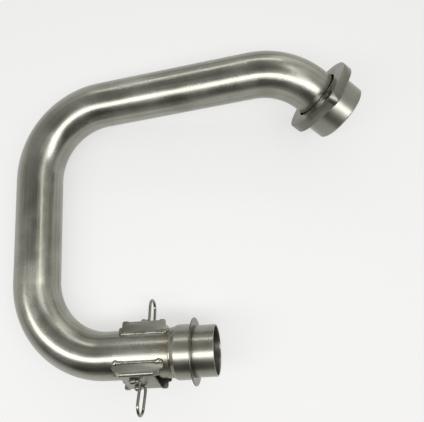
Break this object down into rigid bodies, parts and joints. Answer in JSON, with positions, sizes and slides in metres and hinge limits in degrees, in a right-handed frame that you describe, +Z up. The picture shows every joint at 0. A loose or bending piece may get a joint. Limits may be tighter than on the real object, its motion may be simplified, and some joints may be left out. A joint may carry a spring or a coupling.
{
  "type": "motorcycle exhaust header pipe",
  "caption": "Bent stainless header pipe: a port ring behind a loose flange at one end, folded brackets with wire spring loops, and a collared spigot with a stop ring at the other.",
  "frame": {"origin": "the bottom centre of the pipe's box as it lies on a flat surface, on the tube's low side and one ear of the flange", "axes": "+Z up from that surface; +X from the closed side of the C towards its open side, where the outlet and the port are; +Y from the outlet run towards the port run"},
  "size_m": [0.305, 0.2814, 0.0745],
  "materials": {
    "tube": "brushed along its length, satin, with faint heat tint",
    "collar": "turned and brushed, satin",
    "ring": "pressed and brushed, satin",
    "port_ring": "turned, with fine lathe lines",
    "flange": "milled faces, satin",
    "bracket": "folded sheet, satin, with soft scratches",
    "wire": "drawn wire, bright",
    "weld": "weld bead, tinted brown and blue by heat"
  },
  "bodies": {
    "pipe": {"header_tube": "tube", "collar_weld": "weld", "outlet_collar": "collar", "stop_ring": "ring", "outlet_spigot": "collar", "port_ring": "port_ring", "upper_bracket": "bracket", "upper_bracket_weld": "weld", "upper_loop": "wire", "upper_loop_weld": "weld", "lower_bracket": "bracket", "lower_bracket_weld": "weld", "lower_loop": "wire", "lower_loop_weld": "weld"},
    "flange": {"port_flange": "flange"}
  },
  "joints": [
    {"name": "flange_turn", "type": "hinge", "parent": "pipe", "child": "flange", "pos_m": [0.11931, 0.10078, 0.03727], "axis": [0.7601, -0.5729, -0.3067], "continuous": true}
  ]
}
